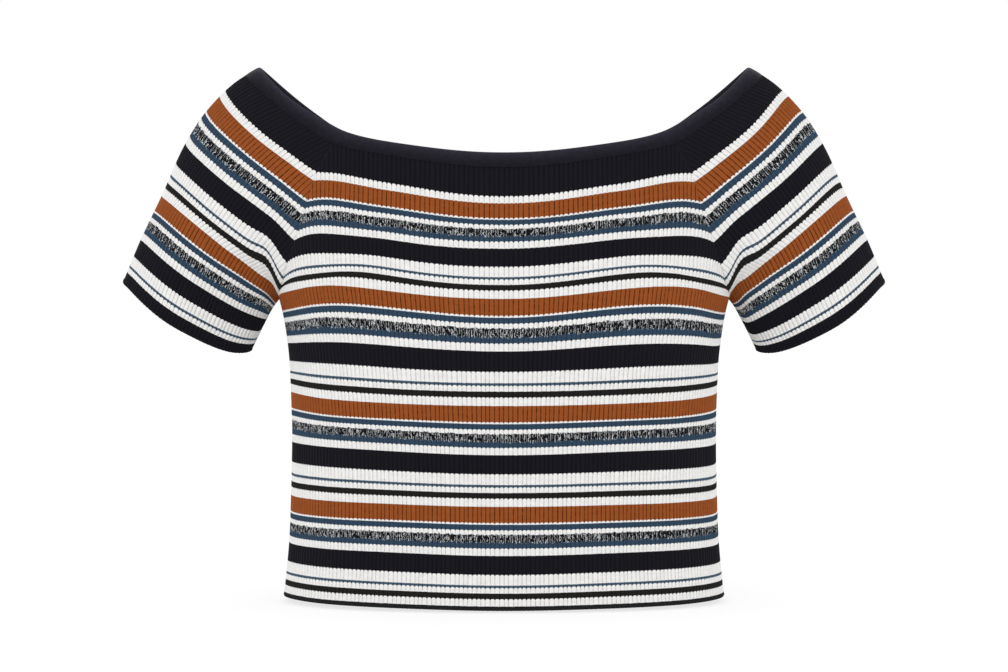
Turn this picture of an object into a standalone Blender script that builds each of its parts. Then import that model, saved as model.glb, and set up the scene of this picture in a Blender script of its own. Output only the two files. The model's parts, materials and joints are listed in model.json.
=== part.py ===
"""Off-the-shoulder ribbed knit top: front, back, two short raglan sleeves and a neckband.

The top is filled out on a general figure and is open at the neck, the hem and both cuffs.
Its front faces -Y and its height is along +Z. The origin is the middle of the neck opening,
20 mm below the two points where the neckband crosses the wearer's shoulders.

Every panel is a wall of cloth. Its outer face is lofted through courses, the rows of the
knitting, and a course is named by its distance down the fabric from the first rust stripe.
"""
from math import acos, cos, radians, sin, tan

import bmesh
import bpy
import numpy as np

MM = 0.001

# Driving dimensions, mm
RIB_WALL = 1.6
BAND_WALL = 2.2
BAND_PROUD = 0.4

# Seams: the clearances between outer faces leave about 0.3 mm between the walls inside them
BAND_GAP = 0.33
SIDE_GAP = 0.45
SLEEVE_GAP = 0.45

# Courses, mm down the fabric
NECK_COURSE = -36.0
BAND_DEPTH = 10.0
ARMPIT_COURSE = 70.0
CUFF_COURSE = 139.5
HEM_COURSE = 280.0

# Courses that the panels are lofted through, and facets along each course
YOKE_COURSES = (NECK_COURSE + BAND_DEPTH, -13.0, 0.0, 12.0, 24.0, 35.0, 45.0, 54.0, 61.0, 66.0, ARMPIT_COURSE)
BODY_COURSES = (78.0, 90.0, 110.0, 135.0, 160.0, 190.0, 220.0, 250.0, HEM_COURSE)
SLEEVE_COURSES = (75.0, 82.0, 91.0, 102.0, 114.0, 127.0, CUFF_COURSE)
BODY_FACETS = 13
SLEEVE_FACETS = 8
BODY_CROWDING = 1.3
SLEEVE_CROWDING = 1.6
SECTION_POWER = 2.2


def columns(names, *rows):
    """A table whose columns are read by name."""
    return dict(zip(names.split(), np.array(rows).T))


# Centre lines of the body: how far the cloth stands from the middle plane, and its height at the
# centre and half way round to the side. Courses hang lower at the centre than beside it.
CENTRE = columns(
    "course front_depth front_height front_half_height back_depth back_height back_half_height",
    (-36.0, 84.0, -47.0, -41.4, 86.0, -42.0, -39.5),
    (-6.0, 97.0, -77.0, -68.6, 95.0, -72.0, -66.0),
    (35.0, 105.5, -114.6, -108.0, 98.0, -112.0, -106.0),
    (70.0, 108.0, -148.0, -139.4, 98.0, -146.0, -140.0),
    (105.0, 104.0, -184.0, -179.3, 95.0, -181.0, -177.0),
    (140.0, 97.5, -220.7, -218.3, 92.0, -216.0, -214.0),
    (175.0, 92.5, -255.2, -252.5, 90.5, -252.0, -250.0),
    (210.0, 89.5, -290.3, -288.4, 91.0, -288.0, -287.0),
    (245.0, 88.0, -325.0, -323.3, 93.0, -324.0, -323.5),
    (280.0, 88.0, -361.6, -361.2, 95.0, -361.6, -361.4),
)

# Half width of the body's full section, and the height where a course reaches the side seam or,
# above the armpit, the raglan seams. The seam angle is how far round the section the raglan seam
# lies, from 0 degrees at the centre to 90 degrees at the side; rise is the course's slope there.
SIDE = columns(
    "course half_width seam_angle front_height back_height rise",
    (-36.0, 166.0, 41.2, -28.8, -28.0, 18.0),
    (-6.0, 171.0, 47.4, -58.8, -53.0, 5.0),
    (20.0, 169.8, 53.0, -88.2, -81.5, -3.0),
    (35.0, 167.5, 58.9, -106.0, -100.3, -8.0),
    (47.5, 165.6, 65.8, -120.6, -116.3, -11.0),
    (56.0, 164.0, 71.8, -133.0, -130.5, -11.0),
    (62.5, 162.7, 77.5, -140.0, -139.5, -6.0),
    (70.0, 161.3, 90.0, -146.0, -146.0, 0.0),
    (80.0, 158.9, 90.0, -155.0, -155.0, 0.0),
    (105.0, 154.8, 90.0, -178.0, -178.0, 0.0),
    (140.0, 152.6, 90.0, -213.0, -213.0, 0.0),
    (175.0, 151.9, 90.0, -249.0, -249.0, 0.0),
    (210.0, 152.6, 90.0, -285.3, -285.3, 0.0),
    (245.0, 155.2, 90.0, -321.9, -321.9, 0.0),
    (280.0, 157.4, 90.0, -360.0, -360.0, 0.0),
)

# Sleeve: the line over the arm and the lines down its front and back
ARM = columns(
    "course over_x over_y over_z front_x front_y front_z back_x back_y back_z",
    (-36.0, 175.7, 0.0, 20.3, 143.9, -44.0, -12.0, 145.9, 46.0, -4.5),
    (-26.0, 185.0, 0.0, 15.4, 150.0, -46.0, -18.0, 151.2, 48.5, -10.5),
    (-6.0, 199.5, 1.0, 4.1, 165.8, -49.5, -33.2, 167.8, 53.5, -24.5),
    (15.0, 216.6, 2.0, -14.4, 178.0, -51.0, -51.7, 180.0, 57.0, -38.7),
    (35.0, 229.3, 3.0, -34.5, 187.0, -51.5, -72.1, 189.0, 59.0, -59.1),
    (70.0, 246.4, 5.0, -71.6, 200.6, -48.0, -107.1, 204.6, 59.0, -94.1),
    (105.0, 261.0, 7.0, -103.4, 214.0, -41.0, -137.8, 221.0, 55.0, -126.3),
    (139.5, 273.4, 8.0, -134.6, 226.0, -37.0, -171.4, 232.3, 52.0, -153.1),
)

# Underarm line of the sleeve, from the armpit to the cuff
UNDERARM = columns(
    "course x y z",
    (70.0, 161.3, 0.0, -146.0),
    (90.0, 166.8, 2.5, -152.8),
    (105.0, 171.4, 4.5, -160.7),
    (117.5, 175.3, 6.0, -168.5),
    (131.0, 180.0, 7.5, -177.6),
    (139.5, 182.9, 8.0, -183.2),
)

# Near the armpit a sleeve course leaves its front seam forward rather than up along the panel:
# the share of the two ways changes over ARMPIT_BLEND, and it turns up by a small lift
ARMPIT_LIFT = 0.2
ARMPIT_BLEND = 25.0
LIFT_REACH = 30.0

# A rounded arc's steps, and the most that its handles may reach along its chord
ARC_STEPS = 40
FULLEST_REACH = 0.9
NO_TURN = 0.001


def read(table, name, course):
    """The value of a table's column at a course, on a smooth curve through its rows."""
    at, values = table["course"], table[name]
    slopes = np.gradient(values, at)
    i = int(np.clip(np.searchsorted(at, course, side="right") - 1, 0, len(at) - 2))
    step = at[i + 1] - at[i]
    return hermite(values[i], slopes[i] * step, values[i + 1], slopes[i + 1] * step,
                   (course - at[i]) / step)


def hermite(start, start_slope, end, end_slope, t):
    """A cubic from start to end with the given slopes."""
    return ((2 * t ** 3 - 3 * t ** 2 + 1) * start + (t ** 3 - 2 * t ** 2 + t) * start_slope
            + (3 * t ** 2 - 2 * t ** 3) * end + (t ** 3 - t ** 2) * end_slope)


def unit(vector):
    """The vector at length 1."""
    return vector / np.linalg.norm(vector)


def ease(t):
    """0 to 1, level at both ends."""
    t = float(np.clip(t, 0.0, 1.0))
    return t * t * (3.0 - 2.0 * t)


def arc(start, start_way, end, end_way):
    """Points of a rounded arc, close to an ellipse's, that leaves and arrives as given."""
    turn = acos(float(np.clip(start_way @ end_way, -1.0, 1.0)))
    reach = 1 / 3
    if turn > NO_TURN:
        reach = min(4 / 3 * tan(turn / 4) / sin(turn), FULLEST_REACH)
    chord = end - start
    first = start + start_way * reach * abs(chord @ start_way)
    second = end - end_way * reach * abs(chord @ end_way)
    t = np.linspace(0, 1, ARC_STEPS)[:, None]
    return ((1 - t) ** 3 * start + 3 * (1 - t) ** 2 * t * first
            + 3 * (1 - t) * t ** 2 * second + t ** 3 * end)


def spread(points, fractions):
    """Points at the given fractions of a polyline's length."""
    along = np.concatenate([[0], np.cumsum(np.linalg.norm(np.diff(points, axis=0), axis=1))])
    at = np.asarray(fractions) * along[-1]
    return np.stack([np.interp(at, along, points[:, axis]) for axis in range(3)], axis=1)


def section_point(face, course, angle):
    """Plan of a point of the body, at an angle round its section from the centre."""
    way = -1.0 if face == "front" else 1.0
    across = sin(radians(angle)) ** (2 / SECTION_POWER)
    along = max(cos(radians(angle)), 0.0) ** (2 / SECTION_POWER)
    return (read(SIDE, "half_width", course) * across,
            way * read(CENTRE, face + "_depth", course) * along)


def seam_angle(course):
    """How far round the section a course of the body runs."""
    if course >= ARMPIT_COURSE:
        return 90.0
    return min(read(SIDE, "seam_angle", course), 90.0)


def raglan_point(face, course):
    """A point of the raglan seam on the +X side; face is front or back."""
    return np.array([*section_point(face, course, seam_angle(course)),
                     read(SIDE, face + "_height", course)])


def body_half_course(face, course, fractions):
    """One course of a body panel from its centre to the +X side seam or raglan seam."""
    low = read(CENTRE, face + "_height", course)
    half = read(CENTRE, face + "_half_height", course)
    end = read(SIDE, face + "_height", course)
    rise = read(SIDE, "rise", course) if course < ARMPIT_COURSE else 0.0
    slope = (end - low) / 2
    points = []
    for t in fractions:
        if t < 0.5:
            height = hermite(low, 0.0, half, slope, 2 * t)
        else:
            height = hermite(half, slope, end, rise, 2 * t - 1)
        points.append((*section_point(face, course, t * seam_angle(course)), height))
    return np.array(points)


def body_course(face, course):
    """One whole course of a body panel, from -X to +X, with facets crowded to the sides."""
    even = np.linspace(0, 1, BODY_FACETS + 1)
    half = body_half_course(face, course, 1 - (1 - even) ** BODY_CROWDING)
    return np.vstack([half[:0:-1] * (-1, 1, 1), half])


def arm_point(line, course):
    """A point of one of the sleeve's three lines; line is over, front or back."""
    return np.array([read(ARM, line + axis, course) for axis in ("_x", "_y", "_z")])


def sleeve_quarters(course):
    """The four arcs of one course of the +X sleeve: up its front, over, and down its back."""
    over, front, back = (arm_point(line, course) for line in ("over", "front", "back"))
    around = unit(back - front)
    lift = ARMPIT_LIFT * (1 - ease(abs(course - ARMPIT_COURSE) / LIFT_REACH))
    up = np.array([0.0, 0.0, lift])
    if course >= ARMPIT_COURSE:
        start = end = np.array([read(UNDERARM, axis, course) for axis in "xyz"])
        leave = unit(up - around)
        arrive = unit(-up - around)
    else:
        start, end = raglan_point("front", course), raglan_point("back", course)
        open_share = min((ARMPIT_COURSE - course) / ARMPIT_BLEND, 1.0)
        leave = unit((1 - open_share) * (up - around) + open_share * unit(front - start))
        arrive = unit((1 - open_share) * (-up - around) + open_share * unit(end - back))
    rising = unit(unit(over - start) + unit(front - start))
    falling = unit(unit(end - over) + unit(end - back))
    return (arc(start, leave, front, rising), arc(front, rising, over, around),
            arc(over, around, back, falling), arc(back, falling, end, arrive))


def sleeve_course(course):
    """One course of the +X sleeve with the same facets in each quarter."""
    even = np.linspace(0, 1, SLEEVE_FACETS + 1)
    crowded = even ** SLEEVE_CROWDING
    first, second, third, last = sleeve_quarters(course)
    return np.vstack([spread(first, crowded)[:-1], spread(second, even)[:-1],
                      spread(third, even)[:-1], spread(last, 1 - crowded[::-1])])


def lofted(name, courses, closed_from, wall, colour, move, flip=False):
    """A cloth wall through the courses: its outer face is lofted, its thickness lies inside.

    Courses from the index closed_from on are rings whose two ends are one point.
    """
    mesh = bpy.data.meshes.new(name)
    cloth = bmesh.new()
    rows = []
    for index, course in enumerate(courses):
        row = [cloth.verts.new(point * MM) for point in course + move]
        if index >= closed_from:
            cloth.verts.remove(row[-1])
            row[-1] = row[0]
        rows.append(row)
    for upper, lower in zip(rows, rows[1:]):
        for left in range(len(upper) - 1):
            corners = (upper[left], lower[left], lower[left + 1], upper[left + 1])
            cloth.faces.new(corners[::-1] if flip else corners)
    cloth.to_mesh(mesh)
    cloth.free()
    mesh.shade_smooth()
    panel = bpy.data.objects.new(name, mesh)
    thick = panel.modifiers.new("cloth wall", "SOLIDIFY")
    thick.thickness = wall * MM
    thick.offset = -1.0
    mesh.materials.append(knit(name, colour))
    return panel


def knit(name, colour):
    """Cotton yarn: dull, not metallic."""
    material = bpy.data.materials.new(name + " yarn")
    material.use_nodes = True
    shader = material.node_tree.nodes["Principled BSDF"]
    shader.inputs["Base Color"].default_value = (*colour, 1.0)
    shader.inputs["Roughness"].default_value = 0.85
    shader.inputs["Metallic"].default_value = 0.0
    return material


def body_panel(face, colour):
    """The front or the back, half a side gap clear of the middle plane at the side seams."""
    way = -1.0 if face == "front" else 1.0
    courses = [body_course(face, course) for course in YOKE_COURSES + BODY_COURSES]
    move = np.array([0.0, way * SIDE_GAP / 2, 0.0])
    return lofted(face, courses, len(courses), RIB_WALL, colour, move, flip=face == "back")


def sleeve(name, side, colour):
    """A raglan sleeve, a sleeve gap clear of both body panels; side is 1 for +X."""
    out = np.array([side, 1, 1])
    courses = [sleeve_course(course) * out for course in YOKE_COURSES + SLEEVE_COURSES]
    move = np.array([side * SLEEVE_GAP, 0.0, 0.0])
    return lofted(name, courses, len(YOKE_COURSES) - 1, RIB_WALL, colour, move, flip=side < 0)


def neck_loop(course):
    """A closed course round the whole neckline, starting at the front raglan seam on +X."""
    left = sleeve_course(course)
    back = body_course("back", course)[::-1]
    right = left[::-1] * (-1, 1, 1)
    front = body_course("front", course)
    return np.vstack([left[:-1], back[:-1], right[:-1], front])


def neckband(colour):
    """The smooth band above the panels, a little proud of them."""
    low = NECK_COURSE + BAND_DEPTH - BAND_GAP
    courses = [neck_loop(course) for course in (NECK_COURSE, low)]
    unmoved = np.zeros(3)
    band = lofted("neckband", courses, 0, BAND_WALL, colour, unmoved)
    band.modifiers["cloth wall"].offset = 2 * BAND_PROUD / BAND_WALL - 1
    return band


def build():
    """The garment alone in the scene, in its own collection."""
    for old in list(bpy.data.objects):
        bpy.data.objects.remove(old, do_unlink=True)
    navy = (0.012, 0.012, 0.018)
    stripes = (0.33, 0.27, 0.24)
    pieces = (
        body_panel("front", stripes),
        body_panel("back", stripes),
        sleeve("sleeve_left", 1, stripes),
        sleeve("sleeve_right", -1, stripes),
        neckband(navy),
    )
    garment = bpy.data.collections.new("off_shoulder_knit_top")
    bpy.context.scene.collection.children.link(garment)
    for piece in pieces:
        garment.objects.link(piece)


build()
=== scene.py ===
"""Looks of an off-the-shoulder ribbed knit top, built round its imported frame.

Every panel is laid out in knit space: ribs counted along a course, and courses counted in mm down
the fabric from the top of the first rust stripe. The courses follow the same curves as the part's
solids, the ribs are real ridges, and the stripes, heather flecks and stitches are nodes that read
the same two coordinates.
"""

import json
from functools import cache
from math import acos, cos, pi, radians, sin, tan

import bpy
import numpy as np
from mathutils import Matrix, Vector

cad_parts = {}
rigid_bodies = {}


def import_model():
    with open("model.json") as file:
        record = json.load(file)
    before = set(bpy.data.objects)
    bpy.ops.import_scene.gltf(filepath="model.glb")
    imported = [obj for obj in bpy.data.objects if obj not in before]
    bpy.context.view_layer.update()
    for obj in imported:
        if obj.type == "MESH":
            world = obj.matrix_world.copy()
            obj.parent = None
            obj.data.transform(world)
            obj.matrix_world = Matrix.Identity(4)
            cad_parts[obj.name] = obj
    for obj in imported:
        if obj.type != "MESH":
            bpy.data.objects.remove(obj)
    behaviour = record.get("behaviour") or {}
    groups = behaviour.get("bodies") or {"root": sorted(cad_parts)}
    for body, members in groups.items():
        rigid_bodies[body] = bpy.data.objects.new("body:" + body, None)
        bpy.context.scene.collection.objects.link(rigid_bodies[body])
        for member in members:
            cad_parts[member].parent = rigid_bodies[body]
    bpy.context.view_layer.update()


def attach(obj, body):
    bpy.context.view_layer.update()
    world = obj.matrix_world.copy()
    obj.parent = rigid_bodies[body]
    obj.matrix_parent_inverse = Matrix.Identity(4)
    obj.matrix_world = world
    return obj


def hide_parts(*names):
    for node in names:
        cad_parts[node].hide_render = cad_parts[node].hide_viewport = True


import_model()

MM = 0.001

# ---------------------------------------------------------------- sizes, mm
# Courses, in mm down the fabric
NECK_COURSE = -36.0
BAND_COURSE = -26.0
PANEL_TOP = -28.5
FIRST_WHITE = -5.2
ARMPIT_COURSE = 70.0
CUFF_COURSE = 139.5
CUFF_BAND_COURSE = 130.8
HEM_COURSE = 282.5
HEM_EDGE_COURSE = 279.3
# The body's section is a superellipse of this power
SECTION_POWER = 2.2

CLOTH_WALL = 1.3
# Ribs from the centre of a body panel to its side, and from over the arm to the underarm
BODY_RIBS = 64
SLEEVE_FRONT_RIBS = 50
SLEEVE_BACK_RIBS = 54
# How much wider the sleeve's ribs grow with each mm above the armpit
SLEEVE_FAN = 0.002

# Spacing of the mesh's rows, and how far its last rows lie from the edge
YOKE_ROW = 3.0
BODY_ROW = 5.0
SLEEVE_ROW = 3.2
LEAST_ROW = 0.5
EDGE_ROWS = (3.0, 2.2, 1.4, 0.7, 0.25, 0.0)

# The ribs' section: places of the mesh's columns and reach of the groove, as shares of a rib
RIB_COLUMNS = (0.0, 0.13, 0.36, 0.64, 0.87)
GROOVE_REACH = 0.27
# Columns that fall closer together than this, where a seam cuts the ribs short, are one
SAME_PLACE = 1e-6
# Heights of the rib's crest and depth of its groove, and how far a seam and an edge reach
RIB_CREST = 0.42
RIB_GROOVE = 0.62
SEAM_REACH = 1.5
EDGE_ROLL = 0.45
EDGE_REACH = 3.0
EDGE_POWER = 4
CREASE_POWER = 0.8


def columns(names, *rows):
    """A table whose columns are read by name."""
    return dict(zip(names.split(), np.array(rows).T))


# ---------------------------------------------------------------- the cloth's form
CENTRE = columns(
    "course front_depth front_height front_half_height back_depth back_height back_half_height",
    (-36.0, 84.0, -47.0, -41.4, 86.0, -42.0, -39.2),
    (-6.0, 97.0, -77.0, -68.6, 95.0, -72.0, -66.0),
    (35.0, 105.5, -114.2, -107.6, 98.0, -112.0, -106.0),
    (70.0, 108.0, -147.8, -138.4, 98.0, -146.0, -140.0),
    (105.0, 104.0, -184.0, -178.2, 95.0, -181.0, -177.0),
    (140.0, 97.5, -220.7, -218.0, 92.0, -216.0, -214.0),
    (175.0, 92.5, -255.0, -251.6, 90.5, -252.0, -250.0),
    (210.0, 89.5, -290.0, -287.6, 91.0, -288.0, -287.0),
    (245.0, 88.0, -324.3, -321.9, 93.0, -323.7, -323.2),
    (282.5, 88.0, -361.6, -360.8, 95.0, -361.4, -361.0),
)
SIDE = columns(
    "course half_width seam_angle front_height back_height rise",
    (-36.0, 166.0, 41.2, -30.0, -26.9, 18.0),
    (-6.0, 171.0, 47.4, -58.8, -53.0, 5.0),
    (20.0, 169.8, 54.0, -89.0, -81.5, -3.0),
    (35.0, 167.5, 59.6, -107.0, -100.3, -8.0),
    (47.5, 165.6, 65.5, -121.3, -116.3, -11.0),
    (56.0, 164.0, 70.7, -132.4, -131.0, -11.0),
    (62.5, 162.7, 75.5, -139.0, -139.8, -6.0),
    (70.0, 161.3, 90.0, -146.0, -146.0, 0.0),
    (80.0, 158.9, 90.0, -155.0, -155.0, 0.0),
    (105.0, 154.8, 90.0, -178.8, -178.8, 0.0),
    (140.0, 152.6, 90.0, -213.0, -213.0, 0.0),
    (175.0, 151.9, 90.0, -249.0, -249.0, 0.0),
    (210.0, 152.6, 90.0, -285.9, -285.9, 0.0),
    (245.0, 154.0, 90.0, -320.8, -320.8, 0.0),
    (282.5, 157.6, 90.0, -359.4, -359.4, 0.0),
)
ARM = columns(
    "course over_x over_y over_z front_x front_y front_z back_x back_y back_z",
    (-36.0, 175.7, 0.0, 20.3, 143.9, -44.0, -12.0, 145.9, 46.0, -3.8),
    (-26.0, 185.0, 0.0, 14.8, 150.0, -46.0, -18.0, 151.2, 48.5, -10.5),
    (-6.0, 199.5, 1.0, 4.1, 165.8, -49.5, -33.2, 167.8, 53.5, -24.5),
    (15.0, 216.6, 2.0, -14.4, 178.0, -51.0, -51.7, 180.0, 57.0, -38.7),
    (35.0, 229.3, 3.0, -34.5, 187.0, -51.5, -72.1, 189.0, 59.0, -59.1),
    (70.0, 246.4, 5.0, -71.6, 200.6, -48.0, -107.1, 204.6, 59.0, -94.1),
    (105.0, 262.0, 7.0, -103.4, 214.0, -41.0, -137.8, 221.0, 55.0, -126.3),
    (139.5, 275.0, 8.0, -134.0, 226.0, -37.0, -171.0, 232.3, 52.0, -153.1),
)
UNDERARM = columns(
    "course x y z",
    (70.0, 161.3, 0.0, -146.0),
    (90.0, 166.8, 2.5, -152.8),
    (105.0, 171.4, 4.5, -160.7),
    (117.5, 175.3, 6.0, -168.5),
    (131.0, 180.0, 7.5, -177.6),
    (139.5, 182.9, 8.0, -183.2),
)
# Lift of the body's courses beside the raglan seam, and of the sleeve's front courses at three
# places from over the arm to the seam, and how much they tuck up beside it
PULL = columns(
    "course body outer middle inner seam",
    (-36.0, 0.0, 0.6, 0.9, 0.6, 0.0),
    (-26.0, 0.2, 0.2, 0.3, 0.4, 0.0),
    (-6.0, 0.6, 0.5, 0.8, 1.0, 0.0),
    (20.0, 1.6, -0.6, -0.6, 1.0, 0.4),
    (35.0, 2.2, -1.2, -1.6, 1.2, 1.4),
    (47.5, 2.4, -0.8, -1.6, 1.6, 5.0),
    (60.0, 2.4, 0.2, -1.0, 2.4, 8.0),
    (75.0, 2.0, 1.6, -0.6, 1.8, 4.6),
    (90.0, 1.2, 2.4, -0.8, 0.4, 2.2),
    (105.0, 0.6, 2.2, -1.4, -1.4, 0.6),
    (139.5, 0.0, 3.8, 0.4, -2.6, 0.0),
    (282.5, 0.0, 0.0, 0.0, 0.0, 0.0),
)
# How the two fronts settled a little unlike each other when put on: more lift of the courses, at
# three places of the body and four of the sleeve, and at their raglan seam
SETTLE_COLUMNS = "course belly side flank outer middle inner tuck seam"
SETTLE = {
    1: columns(
        SETTLE_COLUMNS,
        (-20.0, 0.0, 0.0, 0.0, 0.0, 0.0, 0.0, 0.0, 0.0),
        (-6.0, 0.0, 0.0, 0.0, 2.6, 1.2, -0.5, -0.7, -0.4),
        (8.0, 0.0, 0.3, -0.3, 3.2, 1.2, -1.2, -1.4, -1.0),
        (22.0, 0.3, 0.6, -0.6, 3.2, 0.9, -1.6, -1.7, -1.2),
        (36.0, 0.5, 0.9, -1.2, 2.6, 1.0, -1.3, -1.4, -1.2),
        (50.0, 0.4, 0.5, -1.8, 2.0, 0.5, -1.8, -1.6, -1.0),
        (62.0, 0.3, -0.3, -2.3, 2.0, 0.0, -1.4, -2.2, -0.6),
        (70.0, 0.7, -1.0, -2.2, 1.4, 0.2, -1.4, -3.6, 0.0),
        (80.0, 1.2, -1.5, -2.6, 0.8, 0.2, -1.8, -4.8, 0.0),
        (90.0, 1.0, -1.4, -2.4, 0.3, 0.0, -2.6, -5.2, 0.0),
        (104.0, 0.8, -1.2, -2.2, -0.4, -0.3, -3.1, -4.2, 0.0),
        (120.0, -0.1, -0.9, -1.1, -0.8, 0.2, -2.0, -2.4, 0.0),
        (139.5, 0.0, -0.4, -0.6, 0.0, 0.0, 0.0, 0.0, 0.0),
        (160.0, 0.6, -0.4, -0.7, 0.0, 0.0, 0.0, 0.0, 0.0),
        (180.0, -0.1, -1.3, -1.2, 0.0, 0.0, 0.0, 0.0, 0.0),
        (240.0, -0.1, -1.1, -1.0, 0.0, 0.0, 0.0, 0.0, 0.0),
        (262.0, 0.4, -0.2, -0.2, 0.0, 0.0, 0.0, 0.0, 0.0),
        (282.5, 0.5, 0.4, 0.2, 0.0, 0.0, 0.0, 0.0, 0.0),
    ),
    -1: columns(
        SETTLE_COLUMNS,
        (-20.0, 0.0, 0.0, 0.0, 0.0, 0.0, 0.0, 0.0, 0.0),
        (-6.0, 0.0, 0.5, 0.5, -1.0, 0.0, -0.4, -0.3, 0.3),
        (8.0, 0.0, 0.8, 0.8, -0.9, -0.2, -0.6, -0.4, 0.3),
        (22.0, -0.1, 1.3, 1.0, -0.7, -0.2, -0.6, -0.3, 0.5),
        (36.0, -0.5, 1.6, 0.6, 0.1, 0.1, 0.0, 0.2, 0.2),
        (50.0, -0.6, 1.4, 0.2, 0.1, -0.5, -0.6, -0.3, 0.2),
        (62.0, -0.8, 0.8, 0.0, 0.0, -0.8, 0.0, -1.0, 0.1),
        (72.0, -0.3, 0.3, -0.4, 0.1, 0.0, 0.0, -2.5, 0.0),
        (80.0, 0.4, -0.1, -1.0, 0.1, 0.3, 0.0, -2.2, 0.0),
        (90.0, 0.4, 0.1, -0.8, -0.1, 0.4, -0.4, -0.4, 0.0),
        (104.0, 0.4, 0.2, -0.5, -0.4, 0.6, -0.6, -0.6, 0.0),
        (120.0, 0.0, 0.4, 0.3, -0.4, 1.0, 0.1, -0.1, 0.0),
        (139.5, 0.3, 0.6, 0.6, 0.0, 0.6, 0.0, 0.0, 0.0),
        (160.0, 0.9, 0.8, 0.7, 0.0, 0.0, 0.0, 0.0, 0.0),
        (180.0, 0.3, 0.1, 0.2, 0.0, 0.0, 0.0, 0.0, 0.0),
        (240.0, 0.4, -0.4, -0.2, 0.0, 0.0, 0.0, 0.0, 0.0),
        (262.0, 0.6, 0.4, 0.5, 0.0, 0.0, 0.0, 0.0, 0.0),
        (282.5, 0.7, 0.8, 0.6, 0.0, 0.0, 0.0, 0.0, 0.0),
    ),
}

# Where along a course the lifts of these tables lie, as shares of its length
BODY_PLACES = (0.0, 0.35, 0.65, 0.9, 1.0)
SLEEVE_PLACES = (0.0, 0.2, 0.5, 0.8, 0.9, 1.0)
PULL_PLACES = (0.0, 0.2, 0.5, 0.8, 1.0)
PULL_REACH = 22.0
TUCK_REACH = 18.0
# How steeply a sleeve's courses leave the armpit, and over how many mm above it they change
ARMPIT_LIFT = 0.2
LIFT_REACH = 30.0
ARMPIT_BLEND = 25.0
BODY_STEPS = 161
ARC_STEPS = 40
FULLEST_REACH = 0.9
NO_TURN = 0.001


def hermite(start, start_slope, end, end_slope, t):
    """A cubic from start to end with the given slopes."""
    return ((2 * t ** 3 - 3 * t ** 2 + 1) * start + (t ** 3 - 2 * t ** 2 + t) * start_slope
            + (3 * t ** 2 - 2 * t ** 3) * end + (t ** 3 - t ** 2) * end_slope)


def curve(at, values, slopes, place):
    """The value at a place on a smooth curve through points that has the given slopes there."""
    i = np.clip(np.searchsorted(at, place, side="right") - 1, 0, len(at) - 2)
    step = at[i + 1] - at[i]
    return hermite(values[i], slopes[i] * step, values[i + 1], slopes[i + 1] * step,
                   (place - at[i]) / step)


def read(table, name, course):
    """The value of a table's column at a course, on a smooth curve through its rows."""
    at, values = table["course"], table[name]
    return curve(at, values, np.gradient(values, at), course)


def unit(vector):
    """The vector at length 1."""
    return vector / np.linalg.norm(vector)


def ease(t):
    """0 to 1, level at both ends."""
    t = np.clip(t, 0.0, 1.0)
    return t * t * (3.0 - 2.0 * t)


def arc(start, start_way, end, end_way):
    """Points of a rounded arc, close to an ellipse's, that leaves and arrives as given."""
    turn = acos(float(np.clip(start_way @ end_way, -1.0, 1.0)))
    reach = 1 / 3
    if turn > NO_TURN:
        reach = min(4 / 3 * tan(turn / 4) / sin(turn), FULLEST_REACH)
    chord = end - start
    first = start + start_way * reach * abs(chord @ start_way)
    second = end - end_way * reach * abs(chord @ end_way)
    t = np.linspace(0, 1, ARC_STEPS)[:, None]
    return ((1 - t) ** 3 * start + 3 * (1 - t) ** 2 * t * first
            + 3 * (1 - t) * t ** 2 * second + t ** 3 * end)


def section_point(face, course, angle):
    """Plan of a point of the body, at an angle round its section from the centre."""
    way = -1.0 if face == "front" else 1.0
    across = sin(radians(angle)) ** (2 / SECTION_POWER)
    deep = max(cos(radians(angle)), 0.0) ** (2 / SECTION_POWER)
    return (read(SIDE, "half_width", course) * across,
            way * read(CENTRE, face + "_depth", course) * deep)


def seam_angle(course):
    """How far round the section a course of the body runs."""
    if course >= ARMPIT_COURSE:
        return 90.0
    return min(read(SIDE, "seam_angle", course), 90.0)


def raglan_point(face, course):
    """A point of the raglan seam on the +X side; face is front or back."""
    return np.array([*section_point(face, course, seam_angle(course)),
                     read(SIDE, face + "_height", course)])


def beside_seam(line, reach):
    """0 at a line's end, 1 at a distance from it, and fading out beyond."""
    distance = (lengths(line)[-1] - lengths(line)) / reach
    return distance * np.exp((1 - distance ** 2) / 2)


def tucked(line, reach):
    """The same, but level at the line's end too, as where cloth tucks in at a seam."""
    distance = (lengths(line)[-1] - lengths(line)) / reach
    return distance ** 2 * np.exp(1 - distance ** 2)


@cache
def body_line(face, course, side=0):
    """One course of a body panel as a fine line, from its centre to its seam on the +X side."""
    low = read(CENTRE, face + "_height", course)
    half = read(CENTRE, face + "_half_height", course)
    end = read(SIDE, face + "_height", course)
    rise = read(SIDE, "rise", course) if course < ARMPIT_COURSE else 0.0
    slope = (end - low) / 2
    points = []
    for t in np.linspace(0, 1, BODY_STEPS):
        if t < 0.5:
            height = hermite(low, 0.0, half, slope, 2 * t)
        else:
            height = hermite(half, slope, end, rise, 2 * t - 1)
        points.append((*section_point(face, course, t * seam_angle(course)), height))
    points = np.array(points)
    points[:, 2] += read(PULL, "body", course) * beside_seam(points, PULL_REACH)
    if face == "back":
        return points
    return settle(points, BODY_PLACES, "belly side flank seam", side, course)


def smooth_through(at, places, values):
    """Values of a smooth curve through a few points, level at its two ends."""
    places, values = np.array(places), np.array(values)
    slopes = np.gradient(values, places)
    slopes[0] = slopes[-1] = 0.0
    return curve(places, values, slopes, at)


def settle(line, places, names, side, course):
    """A front course moved up or down as its own side settled; side 0 is unmoved."""
    if side == 0 or course <= SETTLE[side]["course"][0]:
        return line
    lifts = [0.0] + [read(SETTLE[side], name, course) for name in names.split()]
    moved = line.copy()
    moved[:, 2] += smooth_through(lengths(line) / lengths(line)[-1], places, lifts)
    return moved


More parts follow.
